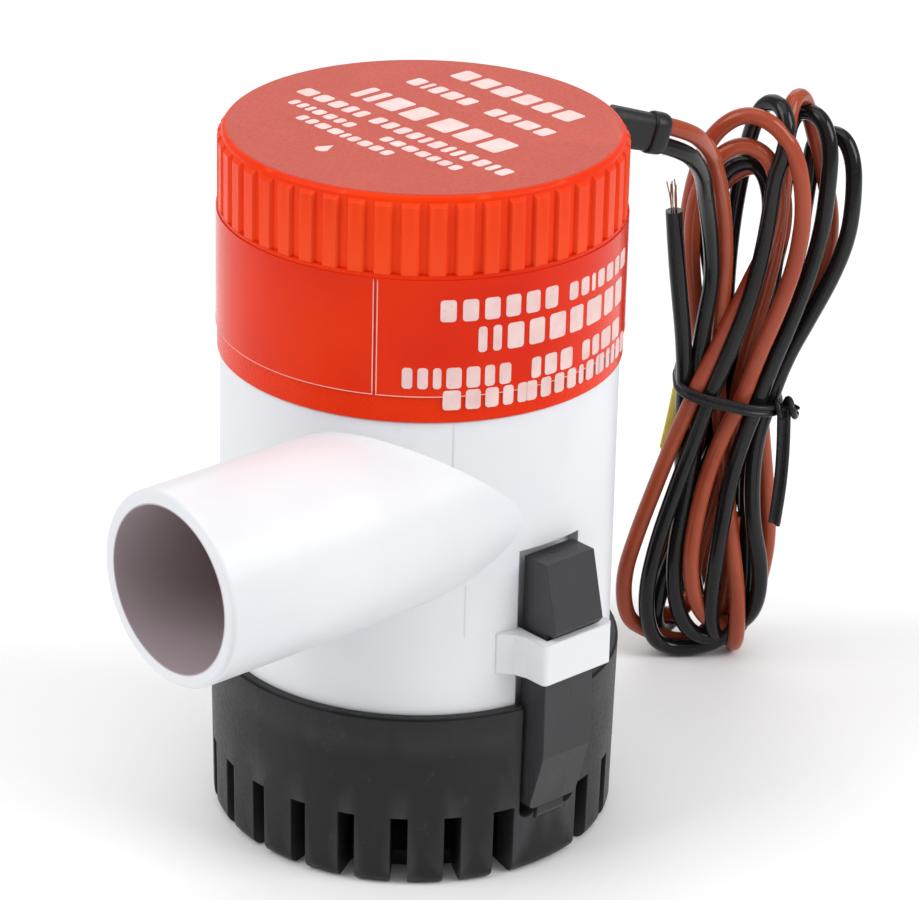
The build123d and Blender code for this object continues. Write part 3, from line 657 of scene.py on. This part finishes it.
def boot_frame():
    """Where the boot leaves the cap, with its axis, its side and its upward direction."""
    reach = math.radians(BOOT_ANGLE)
    start = polar(BOOT_START_R, BOOT_ANGLE, BOOT_START_Z)
    side = Vector((-math.sin(reach), math.cos(reach), 0))
    axis = boot_axis()
    upward = axis.cross(side)
    if upward.z < 0:
        upward = -upward
    return start, axis, side, upward


def oval(centre, side, upward, half_wide, half_high, flat=0.0):
    """A stadium section; flat presses its top down a little."""
    count = 40
    ring = []
    straight = half_high - half_wide
    for k in range(count):
        turn = 2 * math.pi * k / count
        rise = math.sin(turn) * half_wide + math.copysign(straight, math.sin(turn))
        if flat and rise > 0:
            rise = min(rise, half_high * (1 - flat))
        ring.append(centre + side * math.cos(turn) * half_wide + upward * rise)
    return ring


def make_boot():
    """The rubber strain relief: flange, plug, tapered sleeve and end collar."""
    skin = rubber("boot_rubber", (0.010, 0.010, 0.011), (0.016, 0.016, 0.018), 0.36, 0.52)
    start, axis, side, upward = boot_frame()
    reach = math.radians(BOOT_ANGLE)
    outward = Vector((math.cos(reach), math.sin(reach), 0))
    plug = [  # distance from the pump's axis, half width, half height
        (CAP_IN_R - 1.1, 2.3, 2.75),
        (CAP_IN_R - 0.95, 2.55, 3.05),
        (CAP_IN_R - 0.35, 2.55, 3.05),
        (CAP_IN_R - 0.2, 2.3, 2.8),
        (CAP_IN_R - 0.15, 1.93, 2.68),
        (BOOT_START_R + 0.2, 1.93, 2.68),
    ]
    sleeve = [  # along the boot, half width, half height
        (2.4, 1.94, 3.18),
        (4.0, 1.90, 3.14),
        (7.0, 1.84, 3.06),
        (9.1, 1.80, 3.00),
        (9.35, 1.78, 2.96),
    ]
    collar = [
        (BOOT_L - 0.05, 1.78, 2.96),
        (BOOT_L + 0.05, 2.04, 3.22),
        (BOOT_L + 0.35, 2.10, 3.30),
        (BOOT_L + 1.6, 2.09, 3.28),
        (BOOT_L + 2.3, 2.02, 3.20),
        (BOOT_L + 2.7, 1.86, 3.02),
        (BOOT_L + SLEEVE_L, 1.55, 2.70),
    ]
    rings = []
    for radius, wide, high in plug:
        centre = outward * radius + Vector((0, 0, PLUG_Z))
        rings.append(oval(centre, side, Vector((0, 0, 1)), wide, high))
    for along, wide, high in sleeve:
        rings.append(oval(start + axis * along, side, upward, wide, high, flat=0.05))
    points, faces = tube(rings)
    boot = mesh_object("strain_relief", points, faces, skin)
    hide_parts("cable_boot")
    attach(boot, "pump")
    grip_skin = rubber("sleeve_rubber", (0.009, 0.009, 0.010), (0.014, 0.014, 0.015), 0.30, 0.45)
    rings = [oval(start + axis * along, side, upward, wide, high) for along, wide, high in collar]
    points, faces = tube(rings)
    grip = mesh_object("end_collar", points, faces, grip_skin)
    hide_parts("lead_sleeve")
    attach(grip, "pump")


# ---- tie and marker --------------------------------------------------------------
def ribbon_section(out, up, half_high, rib_r):
    """A ribbon with a round rib along each edge and a thin web between."""
    ring = []
    for sign in (1, -1):
        middle = up * sign * (half_high - rib_r)
        for k in range(13):
            turn = math.pi * (-0.40 + 1.8 * k / 12)
            ring.append(middle + up * sign * math.sin(turn) * rib_r
                        + out * sign * math.cos(turn) * rib_r)
    return ring


def sweep_ribbon(line, ups, half_high, rib_r, closed=False):
    """A ribbon along a line of points, each with its own upward direction."""
    rings = []
    last = len(line) - 1
    for i, (place, up) in enumerate(zip(line, ups)):
        before = line[i - 1] if (closed or i) else line[i]
        after = line[(i + 1) % len(line)] if (closed or i < last) else line[i]
        run = (after - before).normalized()
        out = run.cross(up).normalized()
        high = out.cross(run).normalized()
        if high.dot(up) < 0:
            high = -high
            out = -out
        rings.append([place + p for p in ribbon_section(out, high, half_high, rib_r)])
    return tube(rings, closed)


def squarish(value, power=0.66):
    """A sine or cosine pushed outwards, which gives an oval fuller corners."""
    return math.copysign(abs(value) ** power, value)


def tie_point(turn, wide, deep, lift):
    """A point on the tie's loop round the waist, tilted down to the knot's side."""
    side, ahead = directions()
    tilt = math.radians(TIE_TILT)
    x = wide * squarish(math.cos(turn))
    y = deep * squarish(math.sin(turn))
    centre = Vector((*HANK_CENTRE, 0)) + side * TIE_ACROSS + Vector((0, 0, TIE_Z + lift))
    return centre + side * x * math.cos(tilt) + ahead * y + Vector((0, 0, -x * math.sin(tilt)))


def join_parts(parts):
    """One list of points and faces from several."""
    points, faces = [], []
    for more_points, more_faces in parts:
        base = len(points)
        points += more_points
        faces += [tuple(base + i for i in face) for face in more_faces]
    return points, faces


def tie_loop():
    """The ribbon round the waist, with a slight wave."""
    steps = 72
    line = []
    for k in range(steps):
        turn = 2 * math.pi * k / steps
        swell = 1 + TIE_WAVE * math.sin(5 * turn + 0.6)
        lift = TIE_LIFT + 0.25 * math.sin(2 * turn)
        line.append(tie_point(turn, TIE_HALF_WIDE * swell, TIE_HALF_DEEP * swell, lift))
    side, _ = directions()
    tilt = math.radians(TIE_TILT)
    up = (Vector((0, 0, 1)) + side * math.tan(tilt)).normalized()
    return sweep_ribbon(line, [up] * steps, 1.0, 0.42, closed=True)


def tie_knot():
    """The ribbon's two ends, twisted one and a half times and drawn tight."""
    side, ahead = directions()
    start = tie_point(*KNOT_AT)
    end = start + side * 3.4 + Vector((0, 0, 0.6)) + ahead * 0.8
    line, ups = [], []
    steps = 28
    for k in range(steps):
        share = k / (steps - 1)
        turn = 2 * math.pi * 1.6 * share
        up = Vector((0, 0, math.cos(turn))) + ahead * math.sin(turn)
        line.append(start.lerp(end, share) + up * 0.7)
        ups.append(up)
    return sweep_ribbon(line, ups, 1.25, 0.52)


def tie_tail():
    """A loose end of the ribbon that hangs from the knot."""
    lean, bow, start_turn = -0.6, 0.4, 0.2
    side, ahead = directions()
    top = tie_point(*KNOT_AT) + ahead * 0.9 + side * 1.3 + Vector((0, 0, 0.4))
    line, ups = [], []
    steps = 24
    for k in range(steps):
        share = k / (steps - 1)
        drop = Vector((0, 0, -TAIL_LENGTH * share))
        aside = side * (lean * share + bow * math.sin(math.pi * share))
        line.append(top + drop + (aside + ahead * 0.8 * math.sin(2.4 * share)))
        twist = start_turn + 0.5 * share
        ups.append(side * math.cos(twist) + ahead * math.sin(twist))
    return sweep_ribbon(line, ups, 1.12, 0.40)


def make_tie():
    """The black ribbon tie round the hank's waist, with its knot and tail."""
    skin = Finish("tie_plastic", (0.010, 0.010, 0.011), (0.018, 0.018, 0.019), 0.24, 0.38,
                  bump=0.00002, Specular_IOR_Level=0.3).material
    parts = [
        tie_loop(),
        tie_knot(),
        tie_tail(),
    ]
    points, faces = join_parts(parts)
    tie = mesh_object("ribbon_tie", points, faces, skin)
    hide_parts("twist_tie")
    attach(tie, "pump")


def make_marker():
    """A flat yellow marker, bowed a little, with rounded corners."""
    finish = Finish("marker_plastic", (0.94, 0.78, 0.12), (0.97, 0.84, 0.18), 0.35, 0.5)
    side, ahead = directions()
    centre = Vector((*HANK_CENTRE, 0)) + side * (TIE_ACROSS - 7.3) + ahead * -3.0
    centre += Vector((0, 0, TIE_Z))
    section = [(-1, -0.6), (-0.85, -1), (0.85, -1), (1, -0.6)]
    section += [(-x, -y) for x, y in section]
    rings = []
    steps = 20
    for k in range(steps):
        share = k / (steps - 1)
        height = MARKER_ABOVE_TIE - MARKER_LENGTH * share
        nearest_end = min(share, 1 - share) * MARKER_LENGTH
        taper = math.sqrt(1 - (1 - min(1, (nearest_end + 0.12) / 0.8)) ** 2)
        place = centre + Vector((0, 0, height)) + side * (-2.1 * share)
        place += ahead * (0.7 * math.sin(3 * share))
        ring = []
        for x, y in section:
            ring.append(place + side * x * MARKER_HALF_WIDE * taper + ahead * y * MARKER_HALF_THICK)
        rings.append(ring)
    points, faces = tube(rings)
    marker = mesh_object("hank_marker", points, faces, finish.material)
    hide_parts("marker_sleeve")
    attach(marker, "pump")


# ---- print -----------------------------------------------------------------------
def rounded_bar(start, end, low, high, step=0.6):
    """Stations of a bar with rounded corners: (along, low, high), in millimetres."""
    corner = min(0.5, 0.3 * (high - low), 0.45 * (end - start))
    alongs = [start + corner * (1 - math.cos(a)) for a in (0, 0.4, 0.8, 1.2, math.pi / 2)]
    inner = end - start - 2 * corner
    count = max(1, round(inner / step))
    alongs += [start + corner + inner * k / count for k in range(1, count)]
    alongs += [end - corner * (1 - math.cos(a)) for a in (math.pi / 2, 1.2, 0.8, 0.4, 0)]
    stations = []
    for along in alongs:
        edge = min(along - start, end - along)
        inset = 0.0
        if edge < corner:
            inset = corner - math.sqrt(max(0, corner ** 2 - (corner - edge) ** 2))
        stations.append((along, low + inset, high - inset))
    return stations


def drop_stations(centre, bottom, size):
    """A small drop, pointed at the top."""
    stations = []
    for k in range(13):
        x = -1 + k / 6
        round_low = size * 0.36 * (1 - math.sqrt(max(0, 1 - x * x)))
        shoulder = size * (0.36 + 0.64 * (1 - abs(x)) ** 1.3)
        top = max(shoulder, round_low + 0.02)
        stations.append((centre + x * size * 0.36, bottom + round_low, bottom + top))
    return stations


def strip(stations, place, thick):
    """A thin solid over the stations; place turns (along, across, lift) into a point."""
    points, faces = [], []
    for along, low, high in stations:
        points += [place(along, low, 0), place(along, high, 0),
                   place(along, high, thick), place(along, low, thick)]
    for i in range(len(stations) - 1):
        a, b = 4 * i, 4 * (i + 1)
        for k in range(4):
            n = (k + 1) % 4
            faces.append((a + k, a + n, b + n, b + k))
    faces.append((0, 1, 2, 3))
    last = 4 * (len(stations) - 1)
    faces.append((last, last + 1, last + 2, last + 3))
    return points, faces


def words(start, lengths, gap):
    """Starts and ends of a row of bars."""
    row = []
    for length in lengths:
        row.append((start, start + length))
        start += length + gap
    return row


# Rows on the side: start angle in degrees, bottom, height, gap, bar lengths.
SIDE_ROWS = [
    (53.5, 90.5, 3.3, 0.9, (2.3, 2.3, 2.3, 2.3, 2.3, 2.3)),
    (92.5, 90.7, 2.7, 0.7, (1.8, 1.8, 0.9, 1.8, 1.8)),
    (110.5, 90.7, 2.7, 0.7, (1.8, 1.8, 2.6)),
    (64.0, 85.6, 3.9, 0.9, (1.3, 1.3, 2.6, 2.6, 3.0, 2.8, 2.8)),
    (101.5, 85.6, 3.9, 0.9, (3.0, 3.0, 3.0)),
    (43.5, 80.3, 3.2, 0.7, (1.5, 1.5, 1.2, 2.2, 2.0, 1.5, 1.8)),
    (80.0, 80.3, 3.2, 0.7, (1.6, 2.2, 2.4)),
    (98.5, 80.5, 3.0, 0.7, (1.8, 1.8, 3.0, 3.0)),
    (54.6, 77.0, 3.0, 0.7, (2.6, 2.2, 2.0, 1.6, 1.6)),
    (78.5, 77.0, 3.0, 0.7, (1.8, 1.8, 1.8, 1.8, 1.0, 1.8, 1.2)),
    (106.5, 77.0, 3.0, 0.7, (1.8, 1.2, 1.2, 1.8, 1.8)),
]
# Rows on the cap's top: low edge along X, height, start along Y, gap, bar lengths.
TOP_ROWS = [
    (-20.8, 3.9, -13.6, 1.0, (3.4, 3.4, 3.6, 3.4, 3.4, 3.6)),
    (-12.9, 3.0, -15.6, 0.8, (2.3, 0.9, 2.0, 2.7, 2.3)),
    (-12.9, 3.0, 1.6, 0.8, (2.4, 2.4, 3.3, 2.4)),
    (-4.8, 5.0, -16.6, 1.2, (1.6, 1.6, 4.0, 4.0)),
    (-4.8, 5.0, 0.4, 1.2, (4.3, 4.0, 4.2)),
    (2.9, 2.7, -22.4, 0.8, (2.9, 2.5, 2.3, 1.7, 1.7)),
    (2.9, 2.7, -6.2, 0.8, (1.9, 1.9, 1.9, 1.9, 1.2, 2.1, 1.2, 1.2, 1.9, 1.9, 1.2, 1.9)),
    (7.6, 2.0, -19.6, 0.6, (1.3, 1.3, 1.0, 1.8, 1.8, 1.4, 1.6)),
    (7.4, 2.0, 0.6, 0.6, (1.6, 2.0, 2.2, 2.0, 1.6, 1.8, 1.6)),
    (11.0, 2.0, -13.8, 0.6, (1.5, 1.5, 2.2, 2.2, 1.0, 1.6, 2.0, 1.8, 1.6)),
]


def on_band(along, across, lift):
    """Along is an arc length on the film, measured from the angle zero."""
    return polar(BAND_R + PRINT_ROOT + lift, math.degrees(along / FILM_R), across)


def on_cap(along, across, lift):
    """Along runs with +Y. Across runs with -X, so the rows read from the front."""
    return Vector((-across, along, CAP_TOP - PRINT_ROOT + lift))


def make_print():
    """Plain bars and a drop where the photo has words, on the film and on the cap."""
    ink = print_ink()
    film_thick = FILM_R - BAND_R - PRINT_ROOT + PRINT_T
    cap_thick = PRINT_ROOT + PRINT_T
    parts = []
    for angle, bottom, height, gap, lengths in SIDE_ROWS:
        start = math.radians(angle) * FILM_R
        for a, b in words(start, lengths, gap):
            parts.append(strip(rounded_bar(a, b, bottom, bottom + height), on_band, film_thick))
    points, faces = join_parts(parts)
    side_print = mesh_object("side_print", points, faces, ink, smooth=False)
    parts = []
    for low, height, start, gap, lengths in TOP_ROWS:
        for a, b in words(start, lengths, gap):
            parts.append(strip(rounded_bar(a, b, -low - height, -low), on_cap, cap_thick))
    parts.append(strip(drop_stations(-1.4, -19.2, 3.2), on_cap, cap_thick))
    points, faces = join_parts(parts)
    top_print = mesh_object("top_print", points, faces, ink, smooth=False)
    for piece, slot in ((side_print, "label_film"), (top_print, "cap_plastic")):
        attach(piece, "pump")


# ---- moulding lines and the film's edges -----------------------------------------
def upright_line(radius, angle, low, high, half_wide, proud):
    """A thin upright ridge on a round wall, tapered at both ends."""
    stations = []
    for share in (0, 0.04, 0.5, 0.96, 1):
        slim = 0.35 if share in (0, 1) else 1.0
        stations.append((low + (high - low) * share, -half_wide * slim, half_wide * slim))

    def place(along, across, lift):
        return polar(radius - LINE_ROOT + lift, angle + math.degrees(across / radius), along)

    return strip(stations, place, LINE_ROOT + proud)


def level_line(radius, start, end, bottom, top, proud):
    """A thin level ridge on a round wall, between two angles."""
    def place(along, across, lift):
        return polar(radius - LINE_ROOT + lift, along, across)

    steps = max(2, round((end - start) / 2))
    stations = [(start + (end - start) * k / steps, bottom, top) for k in range(steps + 1)]
    return strip(stations, place, LINE_ROOT + proud)


def make_lines():
    """The body's parting lines, and the film's lower edge and seam."""
    parting = Finish("parting_line", (0.55, 0.56, 0.60), (0.66, 0.67, 0.70), 0.4, 0.5).material
    parts = [
        upright_line(BODY_R, 58.0, 66.5, 74.6, 0.09, 0.04),
        upright_line(BODY_R, 62.5, 40.4, 49.0, 0.09, 0.04),
        upright_line(BODY_R, 238.0, 30.0, 74.6, 0.09, 0.04),
    ]
    points, faces = join_parts(parts)
    lines = mesh_object("body_parting_lines", points, faces, parting, smooth=False)
    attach(lines, "pump")
    edge = Finish("film_edge", (0.80, 0.30, 0.24), (0.86, 0.42, 0.36), 0.3, 0.4).material
    parts = [
        level_line(FILM_R, 36.4, 395.6, FILM_BOTTOM, FILM_BOTTOM + 0.12, 0.05),
        upright_line(FILM_R, 36.55, FILM_BOTTOM, SEAM_TOP, 0.08, 0.05),
        upright_line(FILM_R, 35.45, FILM_BOTTOM, SEAM_TOP, 0.08, 0.05),
    ]
    points, faces = join_parts(parts)
    edges = mesh_object("film_edges", points, faces, edge, smooth=False)
    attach(edges, "pump")


# ---- floor and light -------------------------------------------------------------
def make_floor():
    """A sheet of white paper under the pump."""
    size = FLOOR_HALF_SIZE
    paper = Finish("floor_paper", (0.88, 0.88, 0.885), (0.91, 0.91, 0.915), 0.7, 0.85,
                   patch=3, grain=600)
    mesh = bpy.data.meshes.new("floor")
    corners = [(-size, -size, 0), (size, -size, 0), (size, size, 0), (-size, size, 0)]
    mesh.from_pydata(corners, [], [(0, 1, 2, 3)])
    mesh.materials.append(paper.material)
    floor = bpy.data.objects.new("floor", mesh)
    bpy.context.collection.objects.link(floor)


def softbox(name, angle, rise, distance, size, watts):
    """A square light that looks at the pump from an angle round it and above it."""
    data = bpy.data.lights.new(name, "AREA")
    data.shape = "SQUARE"
    data.size = size
    data.energy = watts
    light = bpy.data.objects.new(name, data)
    bpy.context.collection.objects.link(light)
    turn, up = math.radians(angle), math.radians(rise)
    aim = Vector((0, 0, 0.06))
    away = Vector((math.cos(turn) * math.cos(up), math.sin(turn) * math.cos(up), math.sin(up)))
    light.location = aim + away * distance
    light.rotation_euler = away.to_track_quat("Z", "Y").to_euler()


def make_light():
    """Four soft lights, as angle, rise, distance, size and watts, and a white world."""
    softbox("key", -18, 40, 1.1, 0.7, 6.0)
    softbox("fill", 116, 34, 1.1, 0.6, 6.5)
    softbox("top", 50, 82, 1.0, 0.9, 3.4)
    softbox("back", 228, 35, 1.2, 0.9, 3.0)
    world = bpy.data.worlds.new("studio")
    world.use_nodes = True
    background = world.node_tree.nodes["Background"]
    background.inputs["Color"].default_value = (1, 1, 1, 1)
    background.inputs["Strength"].default_value = WORLD_STRENGTH
    bpy.context.scene.world = world
    bpy.context.scene.view_settings.view_transform = "Standard"


make_camera()
strand = nodes_finishes()
make_leads(strand)
make_boot()
make_tie()
make_marker()
make_print()
make_lines()
make_floor()
make_light()
